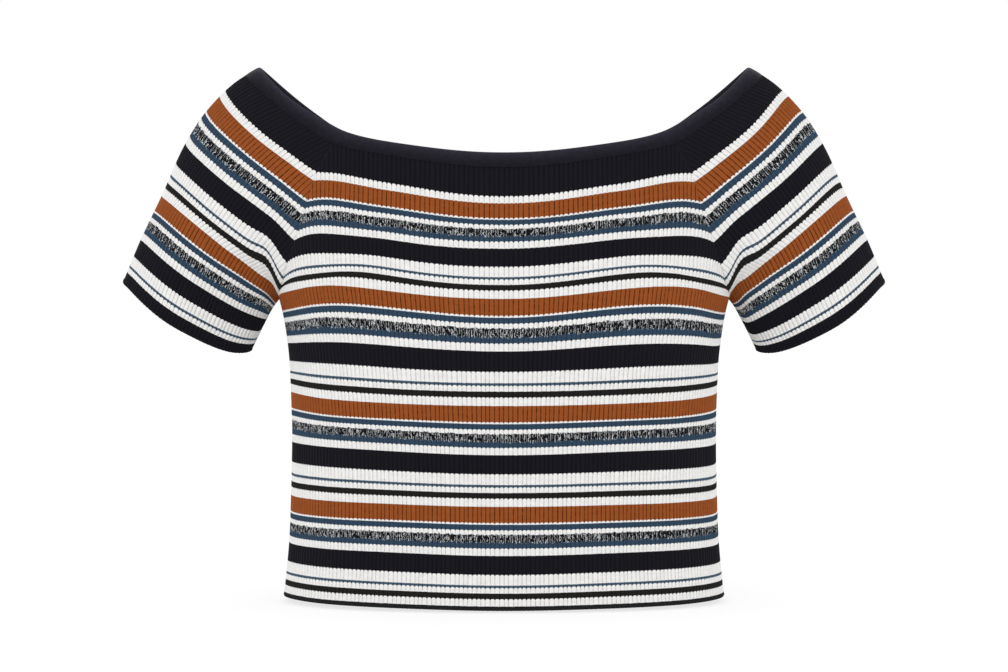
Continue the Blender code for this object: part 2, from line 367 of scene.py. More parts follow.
def arm_point(line, course):
    """A point of one of the sleeve's three lines; line is over, front or back."""
    return np.array([read(ARM, line + axis, course) for axis in ("_x", "_y", "_z")])


@cache
def sleeve_lines(course, side=0):
    """One course of a sleeve, seen on +X, as two fine lines from over the arm: front and back."""
    over, front, back = (arm_point(line, course) for line in ("over", "front", "back"))
    around = unit(back - front)
    lift = ARMPIT_LIFT * (1 - ease(abs(course - ARMPIT_COURSE) / LIFT_REACH))
    up = np.array([0.0, 0.0, lift])
    if course >= ARMPIT_COURSE:
        start = end = np.array([read(UNDERARM, axis, course) for axis in "xyz"])
        leave = unit(up - around)
        arrive = unit(-up - around)
    else:
        start, end = raglan_point("front", course), raglan_point("back", course)
        open_share = min((ARMPIT_COURSE - course) / ARMPIT_BLEND, 1.0)
        leave = unit((1 - open_share) * (up - around) + open_share * unit(front - start))
        arrive = unit((1 - open_share) * (-up - around) + open_share * unit(end - back))
    rising = unit(unit(over - start) + unit(front - start))
    falling = unit(unit(end - over) + unit(end - back))
    front_line = np.vstack([arc(start, leave, front, rising),
                            arc(front, rising, over, around)[1:]])[::-1]
    back_line = np.vstack([arc(over, around, back, falling),
                           arc(back, falling, end, arrive)[1:]])
    share = lengths(front_line) / lengths(front_line)[-1]
    lifts = [0.0, *(read(PULL, place, course) for place in ("outer", "middle", "inner")), 0.0]
    front_line[:, 2] += smooth_through(share, PULL_PLACES, lifts)
    front_line[:, 2] += read(PULL, "seam", course) * tucked(front_line, TUCK_REACH)
    names = "outer middle inner tuck seam"
    return settle(front_line, SLEEVE_PLACES, names, side, course), back_line


def lengths(line):
    """Distance along a line at each of its points."""
    return np.concatenate([[0.0], np.cumsum(np.linalg.norm(np.diff(line, axis=0), axis=1))])


def along(line, distances):
    """Points of a line at distances along it."""
    at = lengths(line)
    return np.stack([np.interp(distances, at, line[:, axis]) for axis in range(3)], axis=1)


# ---------------------------------------------------------------- knit space
def rib_pitch(length_at, ribs, course):
    """Width of a rib: the panel's full ribs share its course, and above the armpit keep on."""
    held = max(course, ARMPIT_COURSE)
    return length_at(held) / ribs


def rib_columns(low, high):
    """Rib coordinates of the mesh's columns, with a column in each groove and on each edge."""
    return np.array([rib + part for rib in range(low, high) for part in RIB_COLUMNS] + [high])


# How ribs drift sideways along a course: the drift in ribs, and its turn for each rib and each mm
RIB_DRIFTS = columns(
    "drift by_rib by_course start",
    (0.05, 1.35, 0.013, 0.4),
    (0.045, 2.3, -0.021, 1.9),
    (0.08, 0.53, 0.017, 2.6),
)
STEADY_RIBS = 3.0


def drifted(ribs, course, limits):
    """Ribs as they lie on the cloth, a little wider here and narrower there, but not at seams."""
    low, high = limits
    drift = sum(size * np.sin(by_rib * ribs + by_course * course + start)
                for size, by_rib, by_course, start in zip(*RIB_DRIFTS.values()))
    return ribs + drift * ease(np.minimum(ribs - low, high - ribs) / STEADY_RIBS)


def course_rows(first, last, steps):
    """Courses of the mesh's rows: steps is (until, spacing) pairs, then fine rows at the edge."""
    rows = [first]
    for until, spacing in steps:
        count = max(round((until - rows[-1]) / spacing), 1)
        rows += list(np.linspace(rows[-1], until, count + 1)[1:])
    rows = [row for row in rows if row < last - EDGE_ROWS[0] - LEAST_ROW]
    return np.array(rows + [last - inset for inset in EDGE_ROWS])


class Panel:
    """A sheet of rib between low and high rib limits, which change with the course.

    place(course, ribs) gives the points of a course, limits(course) its lowest and highest rib,
    pitch(course) the width of a rib, and ring(course) whether its ends are one point.
    """

    def __init__(self, name, rows, across, place, limits, pitch, ring, flip):
        self.name = name
        self.rows, self.across = rows, across
        self.pitch = pitch
        spots, ribs, courses, clear = [], [], [], []
        self.ids = np.zeros((len(rows), len(across)), int)
        self.ribs_at = np.zeros((len(rows), len(across)))
        for i, course in enumerate(rows):
            low, high = limits(course)
            at = np.clip(across, low, high)
            keep = np.concatenate([[True], np.diff(at) > SAME_PLACE])
            ids = len(ribs) + np.cumsum(keep) - 1
            kept = at[keep]
            if ring(course):
                ids[ids == ids[-1]] = ids[0]
                kept = kept[:-1]
            spots.append(place(course, kept))
            ribs += list(kept)
            courses += [course] * len(kept)
            clear += list(np.minimum(kept - low, high - kept) * pitch(course))
            self.ids[i] = ids
            self.ribs_at[i] = at
        self.spots = np.vstack(spots)
        self.ribs, self.courses = np.array(ribs), np.array(courses)
        self.clear = np.array(clear)
        self.flip = flip

    def faces(self):
        """Faces as lists of vertices, and the knit coordinates of their corners."""
        faces, corners = [], []
        for i in range(len(self.rows) - 1):
            for j in range(len(self.across) - 1):
                cells = ((i, j), (i + 1, j), (i + 1, j + 1), (i, j + 1))
                face, places = [], []
                for row, column in cells:
                    vertex = self.ids[row, column]
                    if vertex not in face:
                        face.append(vertex)
                        places.append((self.ribs_at[row, column], self.rows[row]))
                if len(face) < 3:
                    continue
                if self.flip:
                    face.reverse()
                    places.reverse()
                faces.append(face)
                corners += places
        return faces, np.array(corners)

    def build(self, material, height):
        """The sheet's mesh object: raised by height along its normals, then given its wall."""
        faces, corners = self.faces()
        mesh = bpy.data.meshes.new(self.name)
        mesh.from_pydata(self.spots * MM, [], faces)
        mesh.update()
        normals = np.zeros(len(self.spots) * 3, np.float32)
        mesh.vertex_normals.foreach_get("vector", normals)
        raised = self.spots + normals.reshape(-1, 3) * height[:, None]
        mesh.vertices.foreach_set("co", (raised * MM).astype(np.float32).ravel())
        return cloth_piece(mesh, corners, material, CLOTH_WALL)


def cloth_piece(mesh, corners, material, wall_mm):
    """The object of a sheet's outer face, given its knit coordinates, its yarn and its wall."""
    add_maps(mesh, corners)
    mesh.materials.append(material)
    mesh.shade_smooth()
    piece = bpy.data.objects.new(mesh.name, mesh)
    bpy.context.scene.collection.objects.link(piece)
    wall = piece.modifiers.new("cloth wall", "SOLIDIFY")
    wall.thickness = wall_mm * MM
    wall.offset = -1.0
    return piece


def add_maps(mesh, corners):
    """The knit coordinates, and the same laid out to fill a square."""
    knit = mesh.uv_layers.new(name="Knit")
    knit.uv.foreach_set("vector", corners.astype(np.float32).ravel())
    low, high = corners.min(axis=0), corners.max(axis=0)
    chart = mesh.uv_layers.new(name="OFBake")
    chart.uv.foreach_set("vector", ((corners - low) / (high - low)).astype(np.float32).ravel())


# ---------------------------------------------------------------- the ribs' relief
def rib_relief(ribs):
    """Height of the rib's section: a broad rounded crest between narrow grooves."""
    from_groove = np.abs(ribs - np.round(ribs))
    groove = np.clip(1 - from_groove / GROOVE_REACH, 0, 1) ** 2
    return RIB_CREST * np.sqrt(np.sin(np.clip(from_groove, 0, 0.5) * pi)) - RIB_GROOVE * groove


def relief(panel, last, creases):
    """Height of a panel above the form's courses: ribs, seams let in, rolled edge and creases."""
    seam = np.exp(-(panel.clear / SEAM_REACH) ** 2)
    high = rib_relief(panel.ribs) * (1 - seam)
    to_edge = np.clip((last - panel.courses) / EDGE_REACH, 0, 1)
    high += EDGE_ROLL * np.sin(to_edge * pi) - EDGE_ROLL * (1 - to_edge) ** EDGE_POWER
    for crease in creases:
        high += crease_height(panel, *crease) * (1 - seam)
    return high


def crease_height(panel, start, end, width, depth, bow):
    """One soft trough (or ridge, with a negative depth) between two knit places.

    start and end are (rib, course); width is its half width in mm; bow bends its line sideways.
    """
    pitch = panel.pitch(ARMPIT_COURSE)
    place = np.stack([panel.ribs * pitch, panel.courses], axis=1)
    a = np.array([start[0] * pitch, start[1]])
    b = np.array([end[0] * pitch, end[1]])
    way = b - a
    share = np.clip((place - a) @ way / (way @ way), 0, 1)
    side = np.array([-way[1], way[0]]) / np.linalg.norm(way)
    line = a + share[:, None] * way + side * (bow * np.sin(share * pi))[:, None]
    off = np.linalg.norm(place - line, axis=1)
    return -depth * np.sin(share * pi) ** CREASE_POWER * np.exp(-(off / width) ** 2)


# ---------------------------------------------------------------- the four panels
def body_panel(face, material, creases):
    """The front or the back, from the neckband to the hem."""

    def length(course):
        return lengths(body_line(face, course))[-1]

    def pitch(course):
        return rib_pitch(length, BODY_RIBS, course)

    def limits(course):
        reach = BODY_RIBS if course >= ARMPIT_COURSE else length(course) / pitch(course)
        return -reach, reach

    def place(course, ribs):
        ribs = drifted(ribs, course, limits(course))
        share = np.abs(ribs) * pitch(course) / length(course)
        halves = {}
        for side in (-1, 1):
            half = body_line(face, course, side)
            halves[side] = along(half, share * lengths(half)[-1]) * (side, 1, 1)
        return np.where((ribs < 0)[:, None], halves[-1], halves[1])

    rows = course_rows(PANEL_TOP, HEM_COURSE,
                       ((ARMPIT_COURSE, YOKE_ROW), (HEM_COURSE, BODY_ROW)))
    across = rib_columns(-BODY_RIBS, BODY_RIBS)
    panel = Panel(face + "_rib", rows, across, place, limits, pitch, lambda course: False,
                  face == "back")
    return panel.build(material, relief(panel, HEM_COURSE, creases))


def sleeve_panel(side, material, creases):
    """A raglan sleeve; side is 1 for +X. Ribs count from over the arm, back ones positive."""

    def front_length(course):
        return lengths(sleeve_lines(course, side)[0])[-1]

    def back_length(course):
        return lengths(sleeve_lines(course, side)[1])[-1]

    def fan(course):
        """How much wider the ribs are above the armpit."""
        return 1 + SLEEVE_FAN * max(ARMPIT_COURSE - course, 0.0)

    def front_pitch(course):
        return rib_pitch(front_length, SLEEVE_FRONT_RIBS, course) * fan(course)

    def back_pitch(course):
        return rib_pitch(back_length, SLEEVE_BACK_RIBS, course) * fan(course)

    def limits(course):
        if course >= ARMPIT_COURSE:
            return -SLEEVE_FRONT_RIBS, SLEEVE_BACK_RIBS
        return (-front_length(course) / front_pitch(course),
                back_length(course) / back_pitch(course))

    def place(course, ribs):
        ribs = drifted(ribs, course, limits(course))
        front, back = sleeve_lines(course, side)
        before = along(front, np.clip(-ribs, 0, None) * front_pitch(course))
        behind = along(back, np.clip(ribs, 0, None) * back_pitch(course))
        points = np.where((ribs < 0)[:, None], before, behind)
        return points * (side, 1, 1)

    def ring(course):
        return course >= ARMPIT_COURSE

    rows = course_rows(PANEL_TOP, CUFF_COURSE,
                       ((ARMPIT_COURSE, YOKE_ROW), (CUFF_COURSE, SLEEVE_ROW)))
    across = rib_columns(-SLEEVE_FRONT_RIBS, SLEEVE_BACK_RIBS)
    name = "sleeve_left_rib" if side > 0 else "sleeve_right_rib"
    panel = Panel(name, rows, across, place, limits, front_pitch, ring, side < 0)
    return panel.build(material, relief(panel, CUFF_COURSE, creases))


# ---------------------------------------------------------------- the neckband
# Its section, from its lower edge outside, over the folded top, to its lower edge inside:
# the course, and how far it stands out from the form
BAND_SECTION = columns(
    "course out",
    (-25.2, 0.45),
    (-25.7, 0.8),
    (-27.5, 1.0),
    (-30.5, 1.05),
    (-33.5, 1.0),
    (-35.3, 0.7),
    (-36.2, 0.0),
    (-36.4, -0.8),
    (-35.9, -1.5),
    (-34.4, -1.9),
    (-30.5, -2.0),
    (-27.0, -2.0),
    (-25.6, -1.8),
)
# The row of that section whose length is the band's, and the mm of it to a point and to a wale
BAND_MIDDLE = 3
BAND_STEP = 1.6
BAND_WALE = 3.3
BAND_WALL = 0.9
BAND_EASING = 30
NORMAL_STEP = 2.0


def neck_loop(course, counts):
    """A closed course round the neckline; counts are the points of a sleeve and of a body."""
    front_line, back_line = sleeve_lines(course)
    sleeve = np.vstack([front_line[::-1], back_line[1:]])
    stretches = (
        (sleeve, counts[0]),
        (full_course("back", course)[::-1], counts[1]),
        ((sleeve * (-1, 1, 1))[::-1], counts[0]),
        (full_course("front", course), counts[1]),
    )
    loops = []
    for line, count in stretches:
        loops.append(along(line, np.linspace(0, 1, count + 1)[:-1] * lengths(line)[-1]))
    return np.vstack(loops)


def full_course(face, course):
    """A whole course of a body panel, from -X to +X."""
    half = body_line(face, course)
    return np.vstack([half[:0:-1] * (-1, 1, 1), half])


def smoothed(loop, passes):
    """A closed loop with its corners eased."""
    for _ in range(passes):
        loop = (np.roll(loop, 1, axis=0) + 2 * loop + np.roll(loop, -1, axis=0)) / 4
    return loop


def neckband(material):
    """The smooth folded band, a closed ring whose section is lofted round the neckline."""
    sleeve = lengths(np.vstack(sleeve_lines(NECK_COURSE)))[-1]
    body = 2 * lengths(body_line("front", NECK_COURSE))[-1]
    counts = (round(sleeve / BAND_STEP), round(body / BAND_STEP))
    rings = []
    for course, out in zip(BAND_SECTION["course"], BAND_SECTION["out"]):
        ring = smoothed(neck_loop(course, counts), BAND_EASING)
        above = smoothed(neck_loop(course - NORMAL_STEP, counts), BAND_EASING)
        round_way = np.roll(ring, -1, axis=0) - np.roll(ring, 1, axis=0)
        outward = np.cross(round_way, above - ring)
        outward /= np.linalg.norm(outward, axis=1)[:, None]
        rings.append(ring + outward * out)
    rings = np.array(rings)
    section, points = rings.shape[:2]
    distance = lengths(np.vstack([rings[BAND_MIDDLE], rings[BAND_MIDDLE][:1]]))
    drawn = lengths(np.stack([BAND_SECTION["course"], BAND_SECTION["out"]], axis=1))
    faces, corners = [], []
    for i in range(section - 1):
        for j in range(points):
            cells = ((i, j), (i, j + 1), (i + 1, j + 1), (i + 1, j))
            faces.append([a * points + b % points for a, b in cells])
            corners += [(distance[b] / BAND_WALE, BAND_COURSE - drawn[a]) for a, b in cells]
    mesh = bpy.data.meshes.new("neckband_knit")
    mesh.from_pydata(rings.reshape(-1, 3) * MM, [], faces)
    mesh.update()
    return cloth_piece(mesh, np.array(corners), material, BAND_WALL)


# ---------------------------------------------------------------- yarns and stripes
YARNS = {
    "white": (0.832, 0.828, 0.816),
    "navy": (0.0094, 0.0089, 0.0127),
    "black": (0.0150, 0.0141, 0.0138),
    "rust": (0.300, 0.0790, 0.0192),
    "blue": (0.032, 0.060, 0.100),
    "pale_blue": (0.059, 0.096, 0.14),
    "charcoal": (0.0150, 0.0158, 0.0166),
    "heather": (0.0095, 0.0095, 0.012),
}
# One repeat of the stripes down the fabric: yarn, and width in mm
STRIPES = (
    ("rust", 10.95),
    ("white", 1.5),
    ("blue", 3.7),
    ("white", 3.8),
    ("heather", 4.85),
    ("blue", 4.2),
    ("white", 5.4),
    ("navy", 13.0),
    ("white", 7.5),
    ("pale_blue", 1.7),
    ("white", 3.7),
    ("black", 3.8),
    ("white", 5.9),
)
REPEAT = sum(width for _, width in STRIPES)
HEATHER_STRIPE = 4
# How far the upper yarn runs down in a groove, by which of the two is darker, in mm
DARK_TICK = 0.75
LIGHT_TICK = 0.15
# The groove's tick reach, and the reach of the painted shade in the groove and along the crest,
# from a groove (0) to the crest (0.5)
TICK_REACH = 0.3
GROOVE_SHADE_REACH = 0.18
CREST_SHADE_FROM = 0.42
CREST_SHADE = 0.4
# How dark the painted shade between ribs is, by the yarn's own brightness: faint in navy and in
# white
GROOVE_SHADE_STRENGTH = (
    (0.0, (0.03, 0.03, 0.03)),
    (0.02, (0.08, 0.08, 0.08)),
    (0.06, (0.3, 0.3, 0.3)),
    (0.12, (1.0, 1.0, 1.0)),
    (0.8, (0.34, 0.34, 0.34)),
)
# The tint of the painted groove shade
GROOVE_SHADE_TINT = (0.17, 0.08, 0.04)
# Noises are given as (how much of the course they follow, scale, detail), and spreads as
# (lowest and highest that they read, what those turn into)
WAVER_NOISE = (0.3, 1.7, 2.0)
WAVER = 0.5
# How unevenly the painted groove shade runs along each rib
GROOVE_SHADE_NOISE = (1.0, 0.35, 2.0)
GROOVE_SHADE_SPREAD = (0.3, 0.7, 0.4, 1.1)
MOTTLE_NOISE = (0.5, 0.9, 4.0)
MOTTLE_SPREAD = (0.25, 0.75, 0.93, 1.05)
FUZZ_NOISE = (0.4, 9.0, 3.0)
FUZZ_SHARE = 0.8
RIB_ROUGHNESS = (0.2, 0.8, 0.82, 0.98)
# Stitches: mm to a course, slant of their legs, wales to a rib, and bump as (metres, strength)
STITCH_COURSE = 1.25
STITCH_SLANT = 0.9
RIB_WALES = 2.0
RIB_BUMP = (0.00012, 0.8)
RIB_NAP = 0.05
# The neckband's knit: its two yarns, its painted shade at its lower edge and painted highlight
# growing to its top, and the same measures as above
BAND_YARNS = ((0.3, (0.0125, 0.0118, 0.0172)), (0.7, (0.0182, 0.0173, 0.0246)))
BAND_MOTTLE_NOISE = (0.4, 0.8, 4.0)
BAND_TOP = -36.5
BAND_LOW_PAINTED_SHADE = 0.64
BAND_PAINTED_HIGHLIGHT = 1.13
BAND_WALES = 3.0
BAND_BUMP = (0.00005, 0.7)
BAND_ROUGHNESS = (0.2, 0.8, 0.7, 0.9)
BAND_NAP = 0.2
# The heather's flecks: legs to a rib, their height in mm and their curl in legs, how thick a
# stroke is, how many are light on even and odd legs, and the light yarn's two ends
FLECK_LEGS = 4.0
FLECK_HEIGHT = 2.2
FLECK_CURL = 4.0
FLECK_WIDTH = 0.54
FLECK_SHARES = (0.1, 0.84)
FLECK_BRIGHT = (0.66, 0.68, 0.69)
FLECK_DIM = (0.17, 0.18, 0.19)
CURL_NOISE = (0.5, 1.5, 2.0)
STAGGER_SEED = 7.0
# The heather's uneven edge: its waver in mm, dealt anew every few mm of the course, how far the
# dark yarn and the flecks pass the stripe's ends
HEATHER_WAVER = 1.3
HEATHER_WAVER_HEIGHT = 20.0
HEATHER_WAVER_SEED = 3.0
HEATHER_MARGIN = 0.2
HEATHER_RUN = 0.8
FABRIC_SPECULAR = 0.045
NAP_ROUGHNESS = 0.3


class Nodes:
    """Makes a material's nodes; each method returns the socket that holds its result."""

    def __init__(self, name):
        self.material = bpy.data.materials.new(name)
        self.material.use_nodes = True
        self.tree = self.material.node_tree
        self.shader = self.tree.nodes["Principled BSDF"]

    def put(self, node, index, value):
        if hasattr(value, "is_linked"):
            self.tree.links.new(value, node.inputs[index])
        else:
            node.inputs[index].default_value = value

    def math(self, operation, *values):
        node = self.tree.nodes.new("ShaderNodeMath")
        node.operation = operation
        for index, value in enumerate(values):
            self.put(node, index, value)
        return node.outputs[0]

    def dyed(self, share, colour, yarn, blend="MIX"):
        """A socket's colour mixed with a plain one."""
        return self.mix(share, colour, (*yarn, 1.0), blend)

    def shaded(self, colour, shade):
        """A colour made lighter or darker by a factor."""
        return self.mix(1.0, colour, self.vector(shade, shade, shade), "MULTIPLY")

    def mix(self, share, first, second, blend="MIX"):
        node = self.tree.nodes.new("ShaderNodeMix")
        node.data_type = "RGBA"
        node.blend_type = blend
        self.put(node, 0, share)
        self.put(node, 6, first)
        self.put(node, 7, second)
        return node.outputs[2]

    def ramp(self, value, stops, interpolation="CONSTANT"):
        node = self.tree.nodes.new("ShaderNodeValToRGB")
        node.color_ramp.interpolation = interpolation
        marks = node.color_ramp.elements
        while len(marks) < len(stops):
            marks.new(1.0)
        for mark, (place, colour) in zip(marks, stops):
            mark.position = place
            mark.color = (*colour, 1.0)
        self.put(node, 0, value)
        return node.outputs[0]

    def spread(self, value, low, high, to_low, to_high, smooth=True):
        node = self.tree.nodes.new("ShaderNodeMapRange")
        node.interpolation_type = "SMOOTHSTEP" if smooth else "LINEAR"
        for index, number in enumerate((value, low, high, to_low, to_high)):
            self.put(node, index, number)
        return node.outputs[0]

    def grey(self, colour):
        node = self.tree.nodes.new("ShaderNodeRGBToBW")
        self.put(node, 0, colour)
        return node.outputs[0]

    def vector(self, x, y, z=0.0):
        node = self.tree.nodes.new("ShaderNodeCombineXYZ")
        for index, value in enumerate((x, y, z)):
            self.put(node, index, value)
        return node.outputs[0]

    def noise(self, rib, course, measure):
        """Noise over the cloth; measure is (how much of the course it follows, scale, detail)."""
        stretch, scale, detail = measure
        if stretch != 1.0:
            course = self.math("MULTIPLY", course, stretch)
        node = self.tree.nodes.new("ShaderNodeTexNoise")
        self.put(node, "Vector", self.vector(rib, course))
        node.inputs["Scale"].default_value = scale
        node.inputs["Detail"].default_value = detail
        return node.outputs[0]

    def cell_value(self, x, y, seed=0.0):
        node = self.tree.nodes.new("ShaderNodeTexWhiteNoise")
        node.noise_dimensions = "3D"
        self.put(node, 0, self.vector(x, y, seed))
        return node.outputs[0]

    def bump(self, height, measure):
        node = self.tree.nodes.new("ShaderNodeBump")
        distance, strength = measure
        node.inputs["Distance"].default_value = distance
        node.inputs["Strength"].default_value = strength
        self.put(node, "Height", height)
        return node.outputs[0]

    def knit_place(self):
        """The two knit coordinates: rib and course."""
        node = self.tree.nodes.new("ShaderNodeUVMap")
        node.uv_map = "Knit"
        split = self.tree.nodes.new("ShaderNodeSeparateXYZ")
        self.tree.links.new(node.outputs[0], split.inputs[0])
        return split.outputs[0], split.outputs[1]


def stripe_stops():
    """Places of the stripes in one repeat, from 0 to 1, with their yarns' colours."""
    stops, at = [], 0.0
    for yarn, width in STRIPES:
        stops.append((at / REPEAT, YARNS[yarn]))
        at += width
    return stops


def stripe_colour(nodes, course, last_dark, edge_yarn):
    """The yarn at a course: the repeat, a navy top, and a dark edge from last_dark down."""
    turned = nodes.math("DIVIDE", nodes.math("FLOORED_MODULO", course, REPEAT), REPEAT)
    colour = nodes.ramp(turned, stripe_stops())
    above = nodes.math("LESS_THAN", course, FIRST_WHITE)
    colour = nodes.dyed(above, colour, YARNS["navy"])
    below = nodes.math("GREATER_THAN", course, last_dark)
    return nodes.dyed(below, colour, YARNS[edge_yarn]), turned


def heather(nodes, rib, course, turned, colour):
    """Mixed black and white yarn: thin curled strokes, dealt at random to every other leg."""
    start = sum(width for _, width in STRIPES[:HEATHER_STRIPE])
    end = start + STRIPES[HEATHER_STRIPE][1]
    curl = nodes.noise(rib, course, CURL_NOISE)
    legs = nodes.math("MULTIPLY_ADD", curl, FLECK_CURL, nodes.math("MULTIPLY", rib, FLECK_LEGS))
    leg = nodes.math("FLOOR", legs)
    staggered = nodes.math("ADD", nodes.cell_value(leg, 0.0, STAGGER_SEED),
                           nodes.math("DIVIDE", course, FLECK_HEIGHT))
    deal = nodes.cell_value(leg, nodes.math("FLOOR", staggered))
    step = nodes.math("FLOOR", nodes.math("DIVIDE", course, HEATHER_WAVER_HEIGHT))
    waver = nodes.cell_value(leg, step, HEATHER_WAVER_SEED)
    place = nodes.math("MULTIPLY_ADD", nodes.math("SUBTRACT", waver, 0.5), HEATHER_WAVER,
                       nodes.math("MULTIPLY", turned, REPEAT))
    below_top = nodes.math("GREATER_THAN", place, start - HEATHER_MARGIN)
    inside = nodes.math("MULTIPLY", below_top,
                        nodes.math("LESS_THAN", place, end + HEATHER_MARGIN))
    near = nodes.math("MULTIPLY", below_top, nodes.math("LESS_THAN", place, end + HEATHER_RUN))
    colour = nodes.dyed(inside, colour, YARNS["heather"])
    odd = nodes.math("FLOORED_MODULO", leg, 2.0)
    share = nodes.math("MULTIPLY_ADD", odd, FLECK_SHARES[1] - FLECK_SHARES[0], FLECK_SHARES[0])
    slim = nodes.math("GREATER_THAN", nodes.math("PINGPONG", legs, 0.5), 0.5 - FLECK_WIDTH / 2)
    fleck = nodes.math("MULTIPLY", near, nodes.math("LESS_THAN", deal, share))
    yarn = nodes.mix(nodes.spread(deal, 0.0, FLECK_SHARES[1], 0.0, 1.0, smooth=False),
                     (*FLECK_BRIGHT, 1.0), (*FLECK_DIM, 1.0))
    return nodes.mix(nodes.math("MULTIPLY", fleck, slim), colour, yarn)


def fabric_shader(nodes, colour, roughness, normal, nap):
    """The yarn's finish: dull, with a little nap."""
    links, shader = nodes.tree.links, nodes.shader
    links.new(colour, shader.inputs["Base Color"])
    links.new(roughness, shader.inputs["Roughness"])
    links.new(normal, shader.inputs["Normal"])
    shader.inputs["Specular IOR Level"].default_value = FABRIC_SPECULAR
    shader.inputs["Sheen Weight"].default_value = nap
    shader.inputs["Sheen Roughness"].default_value = NAP_ROUGHNESS
    return nodes.material


def stitches(nodes, rib, course, wales, bump):
    """The surface of plain stitches, wales of V shapes to a rib, and the fuzz that covers it."""
    legs = nodes.math("PINGPONG", nodes.math("MULTIPLY", rib, wales), 0.5)
    raised = nodes.math("MULTIPLY_ADD", legs, STITCH_SLANT * 2, course)
    wave = nodes.math("SINE", nodes.math("MULTIPLY", raised, 2 * pi / STITCH_COURSE))
    column = nodes.math("SINE", nodes.math("MULTIPLY", legs, 2 * pi))
    relief = nodes.math("MULTIPLY_ADD", wave, 0.5, column)
    fuzz = nodes.noise(rib, course, FUZZ_NOISE)
    return nodes.bump(nodes.math("MULTIPLY_ADD", fuzz, FUZZ_SHARE, relief), bump), fuzz


def striped_rib(name, last_dark, edge_yarn):
    """Ribbed knit with the stripes; the upper yarn runs a little further down in each groove, and
    the grooves are darkened with painted shade.
    """
    nodes = Nodes(name)
    rib, course = nodes.knit_place()
    from_groove = nodes.math("PINGPONG", rib, 0.5)
    groove = nodes.spread(from_groove, 0.0, TICK_REACH, 1.0, 0.0)
    waver = nodes.math("MULTIPLY_ADD", nodes.noise(rib, course, WAVER_NOISE), WAVER, -WAVER / 2)
    wavy = nodes.math("ADD", course, waver)
    ticked = nodes.math("MULTIPLY_ADD", groove, -DARK_TICK, wavy)
    level = nodes.math("MULTIPLY_ADD", groove, -LIGHT_TICK, wavy)
    high, _ = stripe_colour(nodes, ticked, last_dark, edge_yarn)
    low, turned = stripe_colour(nodes, level, last_dark, edge_yarn)
    colour = nodes.mix(1.0, high, low, "DARKEN")
    colour = heather(nodes, rib, course, turned, colour)

    # Painted shade: a dark line down each groove and a fainter one down each crest, uneven along
    # the rib and weaker in dark and white yarns
    line = nodes.math("ADD", nodes.spread(from_groove, 0.0, GROOVE_SHADE_REACH, 1.0, 0.0),
                      nodes.spread(from_groove, CREST_SHADE_FROM, 0.5, 0.0, CREST_SHADE))
    groove_shade_wobble = nodes.noise(nodes.math("ROUND", rib), course, GROOVE_SHADE_NOISE)
    unevenly = nodes.spread(groove_shade_wobble, *GROOVE_SHADE_SPREAD)
    strength = nodes.grey(nodes.ramp(nodes.grey(colour), GROOVE_SHADE_STRENGTH, "LINEAR"))
    line = nodes.math("MULTIPLY", nodes.math("MULTIPLY", line, unevenly), strength)
    colour = nodes.mix(line, colour, nodes.dyed(1.0, colour, GROOVE_SHADE_TINT, "MULTIPLY"))
    mottle = nodes.noise(rib, course, MOTTLE_NOISE)
    colour = nodes.shaded(colour, nodes.spread(mottle, *MOTTLE_SPREAD, smooth=False))

    normal, fuzz = stitches(nodes, rib, course, RIB_WALES, RIB_BUMP)
    roughness = nodes.spread(fuzz, *RIB_ROUGHNESS, smooth=False)
    return fabric_shader(nodes, colour, roughness, normal, RIB_NAP)


def band_knit():
    """The neckband's close plain knit, a shade lighter than the ribbed navy, with painted shade
    at its lower edge and a painted highlight towards its folded top.
    """
    nodes = Nodes("neckband knit")
    rib, course = nodes.knit_place()
    colour = nodes.ramp(nodes.noise(rib, course, BAND_MOTTLE_NOISE), BAND_YARNS, "LINEAR")
    # Painted shade at the band's lower edge and a painted highlight growing towards its folded
    # top
    risen = nodes.spread(course, BAND_COURSE, BAND_TOP, 0.0, 1.0, smooth=False)
    lift = nodes.math("MULTIPLY_ADD", nodes.math("MULTIPLY", risen, risen), BAND_PAINTED_HIGHLIGHT, BAND_LOW_PAINTED_SHADE)
    colour = nodes.shaded(colour, lift)
    normal, fuzz = stitches(nodes, rib, course, BAND_WALES, BAND_BUMP)
    roughness = nodes.spread(fuzz, *BAND_ROUGHNESS, smooth=False)
    return fabric_shader(nodes, colour, roughness, normal, BAND_NAP)


# ---------------------------------------------------------------- creases
# Each is a line's two ends as (rib, course), its half width, its depth (a ridge's is negative)
# and its bow, in mm
FRONT_CREASES = (
    ((60, 74), (45, 95), 6.0, 1.5, 4.0),
    ((57, 90), (42, 109), 7.0, -0.8, 3.0),
    ((58, 66), (50, 44), 5.0, 0.9, -2.5),
    ((-61, 75), (-48, 87), 6.0, 1.1, -3.0),
    ((-56, 90), (-46, 106), 7.5, 0.6, -2.0),
    ((-57, 64), (-51, 49), 4.5, 0.7, 2.0),
    ((62, 146), (49, 157), 8.0, 0.5, 3.0),
    ((-63, 171), (-52, 162), 9.0, 0.5, 2.0),
    ((24, -24), (27, 12), 8.0, 0.4, 3.0),
    ((-31, -22), (-34, 6), 7.0, 0.35, -2.0),
)
BACK_CREASES = (
    ((59, 73), (47, 90), 6.5, 1.3, 3.5),
    ((56, 92), (39, 104), 8.0, 0.7, 5.0),
    ((-60, 76), (-44, 98), 6.0, 1.4, -4.0),
    ((-55, 66), (-49, 46), 5.0, 0.8, 2.0),
    ((61, 158), (44, 170), 9.0, 0.7, 4.0),
    ((-62, 150), (-41, 164), 8.5, 0.8, -5.0),
    ((18, 148), (-16, 154), 10.0, 0.6, 3.0),
    ((-27, -22), (-25, 16), 8.0, 0.4, 2.0),
)
